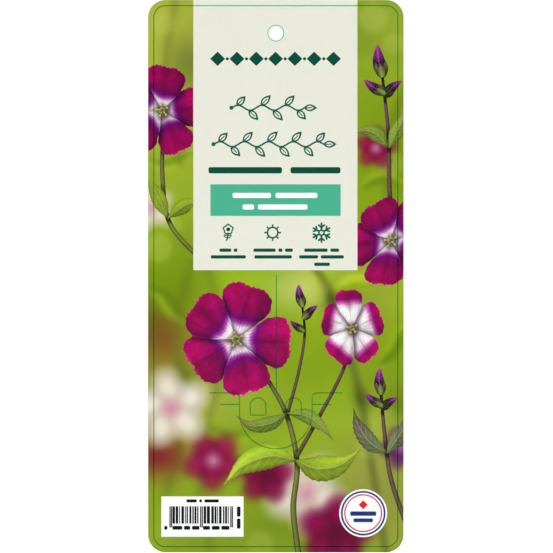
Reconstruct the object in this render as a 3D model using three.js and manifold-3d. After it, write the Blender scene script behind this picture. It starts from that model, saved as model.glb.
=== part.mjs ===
// A printed, die-cut plastic plant label: one flat sheet with rounded corners, a
// hang hole at the top, and a rim clip cut into its lower half (a U-shaped
// tongue with shoulders, side slits and two arched press-out tabs).
// Millimetres, +Z up. The printed face looks along -Y and the back along +Y.
// The origin is the middle of the hang hole, halfway through the sheet.
import * as THREE from "three";
import { mergeVertices } from "three/addons/utils/BufferGeometryUtils.js";
import Module from "manifold-3d";

// ---- driving dimensions (mm) ----
const SHEET = {
  width: 102.2,
  height: 221.0,
  thickness: 0.5,
  cornerRadius: 7.0,
  arcSteps: 14, // facets in each rounded corner
};
const HANG_HOLE = {
  radius: 2.95,
  belowTop: 13.3, // centre of the hole below the top edge
  facets: 48,
};
// Shallow groove that runs all round, parallel to the edge, in the printed face.
const EDGE_SCORE = { inset: 2.3, cornerRadius: 4.6, width: 0.2, depth: 0.12 };

const KERF = 0.1; // width left by the cutting rule
const OVERCUT = 1.0; // how far cutters stand out past both faces

// Straight cut down the middle, above the clip.
const CENTRE_SLIT = { x: 0.2, top: -96.7, bottom: -142.7 };

// The clip: heights are Z, measured from the hang hole's centre.
const CLIP = {
  halfWidth: 14.55, // half the tongue's width, and its end radius
  endCentre: -151.7, // centre of the round end
  shoulder: -143.9, // level of the shoulder cuts
  shoulderOuter: 26.6, // their outer ends, from the middle
  filletRadius: 1.8, // from the shoulder cuts down into the tongue's sides
  sideSlit: -148.5, // level of the side slits
  sideSlitOuter: 22.2,
  endSteps: 40,
  filletSteps: 6,
};

// Two arched tabs in the tongue, cut on three sides and creased along the base.
const TAB = {
  centres: [-7.1, 7.1],
  width: 6.3,
  top: -145.9,
  base: -152.8,
  baseCorner: 0.4,
  archSteps: 18,
  cornerSteps: 3,
  creaseWidth: 0.2,
  creaseDepth: 0.15,
};

const PRINTED_PLASTIC = new THREE.MeshStandardMaterial({
  name: "printed_polypropylene",
  color: new THREE.Color().setRGB(0.54, 0.66, 0.15, THREE.SRGBColorSpace),
  roughness: 0.42,
  metalness: 0,
});

const wasm = await Module();
wasm.setup();

// ---- outlines, drawn in the sheet's own plane: x to the right, y up ----

function roundedRect(x0, y0, x1, y1, r, steps) {
  const pts = [];
  const corners = [
    [x1 - r, y1 - r, 0],
    [x0 + r, y1 - r, Math.PI / 2],
    [x0 + r, y0 + r, Math.PI],
    [x1 - r, y0 + r, 1.5 * Math.PI],
  ];
  for (const [cx, cy, start] of corners)
    for (let i = 0; i <= steps; i++) {
      const a = start + (i / steps) * (Math.PI / 2);
      pts.push(new THREE.Vector2(cx + r * Math.cos(a), cy + r * Math.sin(a)));
    }
  return pts;
}

// Points along an arc, both ends included.
function arc(cx, cy, r, from, to, steps) {
  const pts = [];
  for (let i = 0; i <= steps; i++) {
    const a = from + ((to - from) * i) / steps;
    pts.push(new THREE.Vector2(cx + r * Math.cos(a), cy + r * Math.sin(a)));
  }
  return pts;
}

// Leaves out points that fall on the one before.
function distinct(pts) {
  return pts.filter((p, i) => i === 0 || p.distanceTo(pts[i - 1]) > 1e-4);
}

// A closed outline of even width about an open line.
function strip(line, width) {
  const pts = distinct(line);
  const left = [];
  const right = [];
  for (let i = 0; i < pts.length; i++) {
    const before = i > 0 ? pts[i].clone().sub(pts[i - 1]).normalize() : null;
    const after =
      i < pts.length - 1 ? pts[i + 1].clone().sub(pts[i]).normalize() : null;
    const t = (before || after)
      .clone()
      .add(after || before)
      .normalize();
    const normal = new THREE.Vector2(-t.y, t.x);
    const bend = before && after ? Math.max(0.35, t.dot(before)) : 1;
    const reach = width / 2 / bend;
    left.push(pts[i].clone().addScaledVector(normal, reach));
    right.push(pts[i].clone().addScaledVector(normal, -reach));
  }
  return [...right, ...left.reverse()];
}

// A prism on an outline, from depth z0 to z1 of the sheet (z = 0 is its middle,
// and the printed face is at +thickness / 2).
function prism(outline, z0, z1, holes = []) {
  const shape = new THREE.Shape(outline);
  for (const h of holes) shape.holes.push(new THREE.Path(h));
  const g = new THREE.ExtrudeGeometry(shape, {
    depth: z1 - z0,
    bevelEnabled: false,
    steps: 1,
  });
  g.translate(0, 0, z0);
  return g;
}

function solid(geometry) {
  const g = geometry.index ? geometry.toNonIndexed() : geometry.clone();
  g.deleteAttribute("normal");
  g.deleteAttribute("uv");
  const merged = mergeVertices(g, 1e-4);
  return new wasm.Manifold(
    new wasm.Mesh({
      numProp: 3,
      vertProperties: new Float32Array(merged.attributes.position.array),
      triVerts: new Uint32Array(merged.index.array),
    }),
  );
}

function toGeometry(manifold) {
  const mesh = manifold.getMesh();
  const n = mesh.numProp;
  const xyz = new Float32Array(mesh.numVert * 3);
  for (let i = 0; i < mesh.numVert; i++)
    xyz.set(mesh.vertProperties.subarray(i * n, i * n + 3), i * 3);
  const g = new THREE.BufferGeometry();
  g.setAttribute("position", new THREE.BufferAttribute(xyz, 3));
  g.setIndex(new THREE.BufferAttribute(new Uint32Array(mesh.triVerts), 1));
  g.computeVertexNormals();
  return g;
}

// ---- the sheet ----

const half = SHEET.thickness / 2;
const top = HANG_HOLE.belowTop;
const bottom = top - SHEET.height;
const side = SHEET.width / 2;

let sheet = solid(
  prism(
    roundedRect(
      -side,
      bottom,
      side,
      top,
      SHEET.cornerRadius,
      SHEET.arcSteps,
    ),
    -half,
    half,
  ),
);

// A cut right through the sheet, and a groove of some depth in the printed face.
function cutThrough(outline) {
  sheet = sheet.subtract(
    solid(prism(outline, -half - OVERCUT, half + OVERCUT)),
  );
}
function groove(outline, depth, holes = []) {
  sheet = sheet.subtract(
    solid(prism(outline, half - depth, half + OVERCUT, holes)),
  );
}

// hang hole
cutThrough(
  arc(0, 0, HANG_HOLE.radius, 0, 2 * Math.PI, HANG_HOLE.facets).slice(0, -1),
);

// score parallel to the edge
{
  const o = EDGE_SCORE.inset - EDGE_SCORE.width / 2;
  const i = EDGE_SCORE.inset + EDGE_SCORE.width / 2;
  groove(
    roundedRect(
      -side + o,
      bottom + o,
      side - o,
      top - o,
      EDGE_SCORE.cornerRadius + EDGE_SCORE.width / 2,
      SHEET.arcSteps,
    ),
    EDGE_SCORE.depth,
    [
      roundedRect(
        -side + i,
        bottom + i,
        side - i,
        top - i,
        EDGE_SCORE.cornerRadius - EDGE_SCORE.width / 2,
        SHEET.arcSteps,
      ).reverse(),
    ],
  );
}

// centre slit
cutThrough(
  strip(
    [
      new THREE.Vector2(CENTRE_SLIT.x, CENTRE_SLIT.top),
      new THREE.Vector2(CENTRE_SLIT.x, CENTRE_SLIT.bottom),
    ],
    KERF,
  ),
);

// shoulders and tongue, one line from the left end to the right end
{
  const w = CLIP.halfWidth;
  const r = CLIP.filletRadius;
  cutThrough(
    strip(
      [
        new THREE.Vector2(-CLIP.shoulderOuter, CLIP.shoulder),
        ...arc(
          -w - r,
          CLIP.shoulder - r,
          r,
          Math.PI / 2,
          0,
          CLIP.filletSteps,
        ),
        ...arc(0, CLIP.endCentre, w, Math.PI, 2 * Math.PI, CLIP.endSteps),
        ...arc(w + r, CLIP.shoulder - r, r, Math.PI, Math.PI / 2, CLIP.filletSteps),
        new THREE.Vector2(CLIP.shoulderOuter, CLIP.shoulder),
      ],
      KERF,
    ),
  );
}

// side slits, which meet the tongue's sides
for (const s of [-1, 1])
  cutThrough(
    strip(
      [
        new THREE.Vector2(s * CLIP.sideSlitOuter, CLIP.sideSlit),
        new THREE.Vector2(s * CLIP.halfWidth, CLIP.sideSlit),
      ],
      KERF,
    ),
  );

// arched tabs
for (const cx of TAB.centres) {
  const w = TAB.width / 2;
  const c = TAB.baseCorner;
  cutThrough(
    strip(
      [
        ...arc(
          cx - w + c,
          TAB.base + c,
          c,
          1.5 * Math.PI,
          Math.PI,
          TAB.cornerSteps,
        ),
        ...arc(cx, TAB.top - w, w, Math.PI, 0, TAB.archSteps),
        ...arc(
          cx + w - c,
          TAB.base + c,
          c,
          0,
          -Math.PI / 2,
          TAB.cornerSteps,
        ),
      ],
      KERF,
    ),
  );
  groove(
    strip(
      [
        new THREE.Vector2(cx - w + c, TAB.base),
        new THREE.Vector2(cx + w - c, TAB.base),
      ],
      TAB.creaseWidth,
    ),
    TAB.creaseDepth,
  );
}

const labelSheet = new THREE.Mesh(toGeometry(sheet), PRINTED_PLASTIC);
labelSheet.name = "label_sheet";
labelSheet.rotation.x = Math.PI / 2; // stands the sheet up, printed face to -Y

const label = new THREE.Group();
label.add(labelSheet);

export default label;
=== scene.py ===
# A printed, die-cut plastic plant label: one sheet of white polypropylene, printed
# on the face that looks along -Y, varnished, scored and punched. The sheet hangs
# upright by the hole near its top edge.
import math

import bpy
import numpy as np
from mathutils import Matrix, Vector, kdtree
from mathutils.geometry import delaunay_2d_cdt


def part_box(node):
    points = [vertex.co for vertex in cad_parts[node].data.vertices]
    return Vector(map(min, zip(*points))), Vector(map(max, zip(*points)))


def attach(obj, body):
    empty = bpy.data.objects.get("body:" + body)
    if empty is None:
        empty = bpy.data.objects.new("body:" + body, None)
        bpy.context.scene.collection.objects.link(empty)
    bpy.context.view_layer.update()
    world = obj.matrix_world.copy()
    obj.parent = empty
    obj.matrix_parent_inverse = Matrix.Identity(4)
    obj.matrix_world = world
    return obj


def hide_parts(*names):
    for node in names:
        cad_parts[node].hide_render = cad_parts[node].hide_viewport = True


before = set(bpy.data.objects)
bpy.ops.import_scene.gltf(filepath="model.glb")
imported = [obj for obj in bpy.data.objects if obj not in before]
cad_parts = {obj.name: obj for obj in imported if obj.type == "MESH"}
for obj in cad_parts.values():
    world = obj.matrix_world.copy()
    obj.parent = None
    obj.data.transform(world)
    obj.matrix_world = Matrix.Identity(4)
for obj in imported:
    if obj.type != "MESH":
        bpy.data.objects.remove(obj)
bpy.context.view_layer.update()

MM = 0.001
PI = math.pi

# ------------------------------------------------------------------ dimensions
# Millimetres in the sheet's own plane: x to the right, z up, (0, 0) in the middle
# of the hang hole. Depth is y, with the printed face at -0.25.
lo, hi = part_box("label_sheet")
LEFT, RIGHT = lo[0] / MM, hi[0] / MM
FOOT, TOP = lo[2] / MM, hi[2] / MM
FACE, BACK = lo[1] / MM, hi[1] / MM
CORNER = 7.0
HOLE = 2.95
EDGE_ROUND = 0.07  # the cutting rule rounds the sheet's edges
KERF = 0.03  # gap that the rule leaves at the printed face
KERF_ROUND = 0.006
KERF_BACK = 0.008  # the cut narrows like the rule's blade, and is nearly shut at the back
SCORE_INSET, SCORE_CORNER = 2.3, 4.6
SCORE_HALF, SCORE_DEPTH = 0.1, 0.1
LINE = 0.46  # width of the printed die line


def at(u, v):
    """A point of the print layout, which is drawn in units of 0.4 mm from the sheet's top edge."""
    return np.array([(u - 275.815) * 0.4, (33.15 - v) * 0.4])


# ------------------------------------------------------------------- outlines
def arc(cx, cz, r, a0, a1, n):
    a = np.linspace(a0, a1, n + 1)
    return np.c_[cx + r * np.cos(a), cz + r * np.sin(a)]


def circle(cx, cz, r, n):
    return arc(cx, cz, r, 0, 2 * PI, n)[:-1]


def rounded(x0, z0, x1, z1, r, n=12):
    return np.vstack(
        [
            arc(x1 - r, z1 - r, r, 0, PI / 2, n),
            arc(x0 + r, z1 - r, r, PI / 2, PI, n),
            arc(x0 + r, z0 + r, r, PI, 1.5 * PI, n),
            arc(x1 - r, z0 + r, r, 1.5 * PI, 2 * PI, n),
        ]
    )


def distinct(p, closed=True):
    p = np.asarray(p, float)
    keep = np.r_[True, np.linalg.norm(np.diff(p, axis=0), axis=1) > 1e-4]
    p = p[keep]
    if closed and len(p) > 2 and np.linalg.norm(p[0] - p[-1]) < 1e-4:
        p = p[:-1]
    return p


def fine(p, step, closed=True):
    """The same line with no edge longer than step."""
    p = distinct(p, closed)
    ends = np.roll(p, -1, axis=0) if closed else p[1:]
    out = []
    for a, b in zip(p, ends):
        n = max(1, math.ceil(np.linalg.norm(b - a) / step - 1e-6))
        out += [a + (b - a) * i / n for i in range(n)]
    if not closed:
        out.append(p[-1])
    return np.array(out)


def offset_sides(line, half):
    """The two sides of an open line at half widths half (a number or one per point)."""
    p = np.asarray(line, float)
    d = np.diff(p, axis=0)
    d /= np.linalg.norm(d, axis=1)[:, None]
    before, after = np.vstack([d[:1], d]), np.vstack([d, d[-1:]])
    t = before + after
    t /= np.linalg.norm(t, axis=1)[:, None]
    n = np.c_[-t[:, 1], t[:, 0]]
    reach = np.broadcast_to(half, len(p)) / np.maximum(0.4, (t * before).sum(1))
    return p + n * reach[:, None], p - n * reach[:, None]


def stroke(line, width, caps="butt"):
    """A closed outline of even width about an open line."""
    p = distinct(line, closed=False)
    left, right = offset_sides(p, width / 2)
    if caps == "butt":
        return np.vstack([right, left[::-1]])
    d0, d1 = p[1] - p[0], p[-1] - p[-2]
    a0, a1 = math.atan2(d0[1], d0[0]), math.atan2(d1[1], d1[0])
    end = arc(*p[-1], width / 2, a1 - PI / 2, a1 + PI / 2, 6)[1:-1]
    start = arc(*p[0], width / 2, a0 + PI / 2, a0 + 1.5 * PI, 6)[1:-1]
    return np.vstack([right, end, left[::-1], start])


def spline(points, per=12):
    """A smooth line through the points (centripetal enough for gentle curves)."""
    p = np.asarray(points, float)
    p = np.vstack([2 * p[0] - p[1], p, 2 * p[-1] - p[-2]])
    t = np.linspace(0, 1, per, endpoint=False)[:, None]
    out = []
    for i in range(1, len(p) - 2):
        a, b, c, d = p[i - 1], p[i], p[i + 1], p[i + 2]
        out.append(
            0.5
            * (
                2 * b
                + (c - a) * t
                + (2 * a - 5 * b + 4 * c - d) * t**2
                + (3 * b - a - 3 * c + d) * t**3
            )
        )
    return np.vstack(out + [p[-2:-1]])


def inside(loops, x, z):
    """Even-odd test of points against one or more closed loops."""
    odd = np.zeros(len(x), bool)
    for loop in loops:
        x0, z0 = loop[:, 0], loop[:, 1]
        x1, z1 = np.roll(x0, -1), np.roll(z0, -1)
        for s in range(0, len(x), 20000):
            px, pz = x[s : s + 20000, None], z[s : s + 20000, None]
            cross = (z0 > pz) != (z1 > pz)
            with np.errstate(divide="ignore", invalid="ignore"):
                xi = x0 + (pz - z0) * (x1 - x0) / (z1 - z0)
            odd[s : s + 20000] ^= (np.sum(cross & (px < xi), axis=1) % 2).astype(bool)
    return odd


# --------------------------------------------------------------------- colours
def rgb(r, g, b):
    return np.array([r, g, b]) / 255.0


def to_linear(c):
    c = np.clip(c, 0, 1)
    return np.where(c <= 0.04045, c / 12.92, ((c + 0.055) / 1.055) ** 2.4)


def mix(a, b, m):
    return a + (b - a) * np.asarray(m)[..., None]


def smooth(e0, e1, x):
    t = np.clip((x - e0) / (e1 - e0), 0, 1)
    return t * t * (3 - 2 * t)


def ramp(t, stops):
    ts = [s[0] for s in stops]
    cs = np.array([s[1] for s in stops]) / 255.0
    return np.stack([np.interp(t, ts, cs[:, k]) for k in range(3)], -1)


def cloud(x, z, size, seed):
    """Smooth value noise, 0 to 1."""
    table = np.random.default_rng(seed).random((64, 64))
    gx, gz = x / size + 640, z / size + 640
    ix, iz = np.floor(gx).astype(int), np.floor(gz).astype(int)
    fx, fz = gx - ix, gz - iz
    fx, fz = fx * fx * (3 - 2 * fx), fz * fz * (3 - 2 * fz)
    t = lambda i, j: table[i % 64, j % 64]
    a = t(ix, iz) * (1 - fx) + t(ix + 1, iz) * fx
    b = t(ix, iz + 1) * (1 - fx) + t(ix + 1, iz + 1) * fx
    return a * (1 - fz) + b * fz


LIGHT = np.array([-0.5, 0.86])  # where the picture's own light comes from

CREAM = rgb(234, 235, 221)
GREEN_INK = rgb(0, 80, 62)
THIN_GREEN = rgb(0, 100, 80)  # the same ink in thin lines, which carry less of it
TEAL_INK = rgb(78, 181, 147)
WHITE_INK = rgb(255, 255, 255)
BLACK_INK = rgb(22, 22, 24)
BLUE_INK = rgb(34, 56, 124)
RED_INK = rgb(226, 40, 52)
DIE_LINE = np.array([0.42, 0.84, 0.62])  # a transparent green over the print

PICTURE, PETAL, LEAF, SPOT, PLAIN_BACK, CUT_EDGE, CUT_WALL = range(7)


# ------------------------------------------------- the picture: what is blurred
def soft_blob(x, z, c, cx, cz, rx, rz, colour, alpha, turn=0.0):
    s, k = math.sin(turn), math.cos(turn)
    dx, dz = x - cx, z - cz
    u, w = (dx * k + dz * s) / rx, (dz * k - dx * s) / rz
    return mix(c, colour, alpha * np.exp(-0.5 * (u * u + w * w)))


def soft_disc(x, z, c, cx, cz, r, blur, colour, alpha):
    d = r - np.hypot(x - cx, z - cz)
    return mix(c, colour, alpha * smooth(-blur, blur, d))


def soft_line(x, z, c, points, half, blur, colour, alpha):
    p = spline(points, 10)
    best = np.full(len(x), 1e9)
    for a, b in zip(p[:-1], p[1:]):
        e = b - a
        t = np.clip(((x - a[0]) * e[0] + (z - a[1]) * e[1]) / (e @ e), 0, 1)
        best = np.minimum(best, np.hypot(x - a[0] - t * e[0], z - a[1] - t * e[1]))
    return mix(c, colour, alpha * smooth(-blur, blur, half - best))


def soft_leaf(x, z, c, points, half, blur, dark, light, alpha):
    """A pointed leaf out of focus, with a lit and a shaded half."""
    p = spline(points, 10)
    best, u, side = np.full(len(x), 1e9), np.zeros(len(x)), np.zeros(len(x))
    for i, (a, b) in enumerate(zip(p[:-1], p[1:])):
        e = b - a
        t = np.clip(((x - a[0]) * e[0] + (z - a[1]) * e[1]) / (e @ e), 0, 1)
        dx, dz = x - a[0] - t * e[0], z - a[1] - t * e[1]
        d = np.hypot(dx, dz)
        near = d < best
        best, u = np.where(near, d, best), np.where(near, (i + t) / (len(p) - 1), u)
        side = np.where(near, (e[0] * dz - e[1] * dx) / math.hypot(*e), side)
    wide = half * np.sin(PI * np.clip(u, 0, 1) ** 0.8) ** 0.8
    tone = mix(np.broadcast_to(dark, (len(x), 3)), light, smooth(-0.8 * blur, 0.8 * blur, side) * 0.8 + 0.2 * u)
    return mix(c, tone, alpha * smooth(-blur, blur, wide - best) * smooth(-0.2, 0.12, u) * smooth(1.2, 0.88, u))


def soft_blossom(x, z, c, cx, cz, r, turn, blur, colours, alpha=1.0, flat=(1.0, 0.0)):
    """A five-petalled blossom out of focus."""
    k, s = math.cos(flat[1]), math.sin(flat[1])
    dx, dz = x - cx, z - cz
    a, b = (dx * k + dz * s) / flat[0], dz * k - dx * s
    dark, light, eye = colours
    for i in range(5):
        t = turn + i * 2 * PI / 5
        ct, st = math.cos(t), math.sin(t)
        p, q = a * ct + b * st, b * ct - a * st
        d = (1 - np.hypot((p - 0.56 * r) / (0.5 * r), q / (0.39 * r))) * 0.42 * r
        tone = mix(
            np.broadcast_to(dark, (len(x), 3)),
            light,
            np.clip(0.5 + 0.5 * (p / r) + 0.25 * math.sin(3 * i + turn), 0, 1),
        )
        c = mix(c, tone, alpha * smooth(-blur, blur, d))
        c = mix(c, dark * 0.8, 0.35 * alpha * np.exp(-0.5 * ((d - blur * 0.2) / (0.5 * blur)) ** 2) * (p > 0))
    d = 0.2 * r - np.hypot(a, b)
    return mix(c, eye, 0.9 * alpha * smooth(-blur, blur, d))


MAGENTAS = (rgb(112, 4, 54), rgb(170, 18, 92), rgb(226, 190, 210))
WINES = (rgb(96, 2, 48), rgb(150, 10, 80), rgb(84, 0, 46))
VIOLETS = (rgb(70, 14, 82), rgb(122, 34, 128), rgb(190, 160, 205))
CREAMS = (rgb(224, 208, 188), rgb(251, 244, 236), rgb(206, 130, 160))


def backdrop(x, z):
    c = np.broadcast_to(rgb(140, 170, 38), (len(x), 3)).copy()
    for g in (
        (52, 12, 24, 30, rgb(150, 168, 68), 0.85, 0),
        (-52, 4, 26, 36, rgb(192, 198, 84), 0.95, 0.1),
        (-35, -12, 6, 8, rgb(118, 126, 60), 0.75, 0),
        (-50, -58, 18, 24, rgb(168, 186, 66), 0.65, 0.3),
        (50, -48, 18, 20, rgb(126, 152, 32), 0.75, 0),
        (-12, -100, 26, 11, rgb(160, 190, 48), 0.85, 0.1),
        (12, -101, 9, 6, rgb(232, 226, 190), 0.62, 0.2),
        (28, -98, 12, 8, rgb(172, 196, 52), 0.75, -0.2),
        (44, -118, 12, 14, rgb(116, 142, 24), 0.75, 0.1),
        (16, -140, 12, 9, rgb(112, 138, 26), 0.7, 0.4),
        (-46, -104, 16, 14, rgb(122, 150, 28), 0.8, 0),
        (-46, -122, 7, 9, rgb(128, 26, 36), 0.62, 0.3),
        (-28, -148, 12, 6, rgb(206, 196, 140), 0.6, 0.2),
        (48, -140, 20, 24, rgb(134, 164, 34), 0.7, 0),
        (44, -104, 16, 12, rgb(176, 190, 74), 0.6, -0.4),
        (-50, -146, 18, 16, rgb(150, 128, 66), 0.6, 0.2),
        (14, -156, 22, 12, rgb(152, 182, 46), 0.7, 0),
        (30, -178, 12, 8, rgb(176, 190, 74), 0.6, 0.3),
        (-22, -160, 22, 12, rgb(164, 186, 62), 0.6, 0.5),
        (-30, -206, 34, 12, rgb(150, 166, 60), 0.7, 0),
        (46, -186, 20, 22, rgb(158, 158, 84), 0.8, 0),
        (4, -200, 20, 14, rgb(118, 142, 34), 0.6, 0),
    ):
        c = soft_blob(x, z, c, *g[:4], g[4], g[5], g[6])
    c *= (0.90 + 0.12 * cloud(x, z, 17, 3))[:, None]
    c *= (0.985 + 0.03 * cloud(x, z, 6, 5))[:, None]
    # far leaves
    c = soft_leaf(x, z, c, [(22, -104), (30, -100), (38, -99), (47, -94)], 3.6, 1.9, rgb(138, 168, 34), rgb(196, 212, 66), 0.85)
    c = soft_leaf(x, z, c, [(22, -104), (19, -99), (17, -95), (16, -90)], 2.8, 1.8, rgb(142, 170, 34), rgb(190, 208, 62), 0.8)
    c = soft_leaf(x, z, c, [(-36, -116), (-42, -110), (-46, -105), (-51, -103)], 3.4, 2.2, rgb(96, 124, 28), rgb(156, 184, 44), 0.8)
    c = soft_leaf(x, z, c, [(-8, -160), (-18, -162), (-28, -160), (-36, -164)], 3.4, 2.6, rgb(110, 140, 30), rgb(164, 190, 48), 0.75)
    c = soft_leaf(x, z, c, [(27, -188), (22, -182), (19, -178), (15, -176)], 3.0, 2.4, rgb(104, 130, 30), rgb(170, 192, 52), 0.7)
    c = soft_leaf(x, z, c, [(41, -132), (46, -127), (49, -121), (53, -116)], 3.2, 2.0, rgb(92, 122, 24), rgb(150, 178, 40), 0.8)
    c = soft_leaf(x, z, c, [(-33, -48), (-40, -52), (-46, -53), (-53, -50)], 2.8, 1.8, rgb(112, 138, 32), rgb(172, 190, 62), 0.75)
    c = soft_leaf(x, z, c, [(34, -62), (40, -58), (46, -58), (52, -61)], 2.8, 1.8, rgb(104, 130, 28), rgb(160, 184, 48), 0.7)
    # far stems
    c = soft_line(x, z, c, [(-34, -92), (-40, -120), (-36, -150), (-44, -186)], 1.6, 3.0, rgb(96, 112, 36), 0.42)
    c = soft_line(x, z, c, [(12, -88), (22, -106), (33, -142), (44, -208)], 1.5, 1.7, rgb(100, 108, 48), 0.72)
    c = soft_blob(x, z, c, 22.5, -107, 2.6, 3.6, rgb(58, 66, 26), 0.62, 0.3)
    c = soft_blob(x, z, c, 34.5, -146, 2.4, 3.6, rgb(62, 72, 28), 0.6, 0.25)
    c = soft_blob(x, z, c, -36.5, -140, 3.2, 4.4, rgb(74, 86, 30), 0.5, 0.2)
    c = soft_blob(x, z, c, -52, -118, 5, 7, rgb(84, 100, 30), 0.5, 0.0)
    c = soft_blob(x, z, c, 50, -150, 5, 6, rgb(82, 98, 32), 0.5, 0.3)
    c = soft_line(x, z, c, [(-28, -90), (-21, -126), (-30, -172), (-26, -208)], 1.5, 3.0, rgb(106, 120, 40), 0.45)
    c = soft_line(x, z, c, [(52, -20), (44, -50), (48, -82)], 1.2, 2.4, rgb(104, 110, 46), 0.5)
    c = soft_line(x, z, c, [(-40, 14), (-44, -16), (-38, -52)], 1.2, 2.6, rgb(100, 112, 40), 0.45)
    # discs of light
    for cx, cz, r, blur, a in (
        (-47, -86, 5.5, 1.8, 0.26),
        (-41, -76, 3.6, 1.4, 0.2),
        (46, -52, 5.0, 1.8, 0.24),
        (39, 6, 5.5, 2.0, 0.26),
        (47, -4, 4.0, 1.6, 0.2),
        (16, -103, 5.0, 1.8, 0.2),
        (44, -156, 6.5, 2.2, 0.22),
        (36, -166, 4.4, 1.6, 0.18),
        (-30, -170, 6.0, 2.0, 0.2),
        (-6, -204, 5.0, 2.0, 0.2),
        (-45, 4, 4.6, 1.8, 0.22),
    ):
        c = soft_disc(x, z, c, cx, cz, r, blur, rgb(206, 214, 120), a)
    # far blossoms, pale and dark
    c = soft_blob(x, z, c, -47, -169, 8, 6, rgb(124, 18, 44), 0.8)
    c = soft_blossom(x, z, c, -25, -171, 10, 0.9, 4.0, MAGENTAS, 0.85)
    c = soft_blossom(x, z, c, -42, -150, 14, 0.5, 4.0, CREAMS, 0.92)
    c = soft_blossom(x, z, c, 12, -184, 14, 1.0, 5.0, CREAMS, 0.9)
    c = soft_blossom(x, z, c, 24, -200, 13, 0.2, 4.2, WINES, 0.97)
    c = soft_blossom(x, z, c, -4, -177, 9.5, 0.2, 3.6, WINES, 0.9)
    c = soft_blossom(x, z, c, 50, -166, 7, 0.7, 2.8, VIOLETS, 0.8)
    # middle distance, beside the panel
    c = soft_blossom(x, z, c, 40, -46, 7, 0.2, 2.6, MAGENTAS, 0.8)
    c = soft_blossom(x, z, c, -50, -70, 8, 0.6, 2.8, CREAMS, 0.8)
    # richer inks all over
    grey = (c @ np.array([0.3, 0.6, 0.1]))[:, None]
    return np.clip(grey + 1.08 * (c - grey), 0, 1)


# ------------------------------------------------ the picture: what is in focus
class Petal:
    """One petal, on a blossom that may be turned away from the viewer."""

    material = PETAL
    HALF = np.array(
        [(0, 0.06), (0.1, 0.17), (0.25, 0.42), (0.42, 0.7), (0.6, 0.93), (0.74, 1.0), (0.86, 0.93), (0.945, 0.74), (0.985, 0.5), (1.0, 0.26), (0.985, 0.1), (0.965, 0)]
    )

    def __init__(self, blossom, angle, length, width, seed):
        self.b, self.angle, self.length, self.width, self.seed = blossom, angle, length, width, seed
        h = spline(self.HALF, 9)
        rng = np.random.default_rng(seed)
        ph = rng.uniform(0, 6.28, 4)
        side = []
        for sign in (1, -1):
            crimp = 0.010 * np.sin(h[:, 1] * 31 * sign + ph[1]) + 0.006 * np.sin(h[:, 1] * 67 * sign + ph[0])
            w = h[:, 1] * (1 + 0.022 * np.sin(h[:, 0] * 17 + ph[0] * sign) + 0.014 * np.sin(h[:, 0] * 37 + ph[1] * sign))
            t = h[:, 0] + (0.010 * np.sin(h[:, 1] * 13 * sign + ph[2]) + crimp * (h[:, 0] > 0.8)) * h[:, 0] ** 2
            side.append(np.c_[t * length, sign * w * width])
        local = np.vstack([side[1], side[0][::-1][1:]])
        local[:, 1] += 0.05 * length * math.sin(ph[3]) * (local[:, 0] / length) ** 2
        self.lean = 0.05 * length * math.sin(ph[3])
        self.wide = h[: np.argmax(h[:, 0]) + 1]
        self.loop = fine(self.out(local), 0.45)

    def out(self, local):
        k, s = math.cos(self.angle), math.sin(self.angle)
        p, q = local[:, 0], local[:, 1]
        return self.b.out(np.c_[p * k - q * s, p * s + q * k])

    def local(self, x, z):
        w = self.b.local(x, z)
        k, s = math.cos(self.angle), math.sin(self.angle)
        p, q = w[:, 0] * k + w[:, 1] * s, w[:, 1] * k - w[:, 0] * s
        q = q - self.lean * (np.clip(p, 0, None) / self.length) ** 2
        return p, q

    def paint(self, x, z):
        p, q = self.local(x, z)
        u = np.clip(p / self.length, 0, 1)
        f = np.interp(u, self.wide[:, 0], self.wide[:, 1])
        v = np.clip(q / (self.width * np.maximum(f, 0.04)), -1.2, 1.2)
        fan = np.arctan2(q, p + 0.16 * self.length) / 0.62
        n1, n2 = cloud(x, z, 3.1, self.seed), cloud(x, z, 1.1, self.seed + 9)
        edge = u + 0.05 * (n1 - 0.5) - 0.10 * np.abs(fan) ** 2 * (u < 0.6)
        c = ramp(edge, self.b.colours)
        # the petal's roll: lit on the side that turns to the light
        k, s = math.cos(self.angle), math.sin(self.angle)
        along, across = self.b.turn_vec(k, s), self.b.turn_vec(-s, k)
        tone = 1 + 0.20 * np.sin(v * 1.35) * (across @ LIGHT) * smooth(0.1, 0.6, u)
        tone += 0.13 * (along @ LIGHT) * (0.15 - (u - 0.25))
        tone += 0.08 * np.exp(-(((np.abs(v) - 0.42) / 0.2) ** 2)) * smooth(0.25, 0.6, u)
        tone -= 0.16 * np.exp(-((v / 0.085) ** 2)) * smooth(0.15, 0.35, u) * smooth(0.95, 0.6, u)
        tone += 0.05 * np.sin(fan * 7 + self.seed + 2 * u) * smooth(0.3, 0.8, u)
        tone -= 0.14 * smooth(0.62, 1.0, np.abs(v)) * smooth(0.95, 0.4, u)
        tone += 0.10 * (n1 - 0.5) + 0.06 * (n2 - 0.5)
        tone += 0.17 * (cloud(u * 26, fan * 7.5, 1.0, self.seed + 2) * 0.4 + cloud(u * 5, fan * 10, 1.0, self.seed + 3) * 0.6 - 0.5) * smooth(0.25, 0.5, u)
        c = c * tone[:, None]
        rim = smooth(0.955, 0.995, u) + smooth(0.94, 1.0, np.abs(v)) * smooth(0.35, 0.6, u)
        c = mix(c, rgb(206, 74, 140) * self.b.dim, 0.42 * np.clip(rim, 0, 1))
        amount = smooth(0.10, 0.24, u) * smooth(1.0, 0.84, u) * self.b.sharp
        return c, np.c_[u, fan, amount]


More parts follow.
